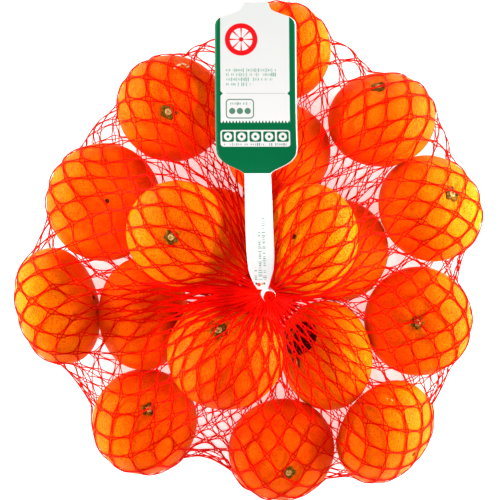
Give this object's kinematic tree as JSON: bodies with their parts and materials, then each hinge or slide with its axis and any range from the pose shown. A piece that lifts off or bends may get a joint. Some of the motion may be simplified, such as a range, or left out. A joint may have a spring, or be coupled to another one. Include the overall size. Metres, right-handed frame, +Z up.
{
  "type": "net of mandarins",
  "caption": "Red knitted net bag full of mandarins lying flat, gathered by a metal clip, with a folded green and white label on a strap laid over the fruit.",
  "frame": {"origin": "on the floor, under the middle of the bounding box of the bag as it lies", "axes": "+Z up; the label's strap runs from the top clip towards +Y; +X is to the right seen from above with the label pointing away"},
  "size_m": [0.2672, 0.2882, 0.0906],
  "materials": {
    "net_and_fruit": "red knitted net over waxy orange peel",
    "clip": "satin bent band",
    "label": "smooth printed film"
  },
  "bodies": {
    "root": {"net_bag": "net_and_fruit", "top_clip": "clip", "base_clip": "clip", "label": "label"}
  },
  "joints": []
}
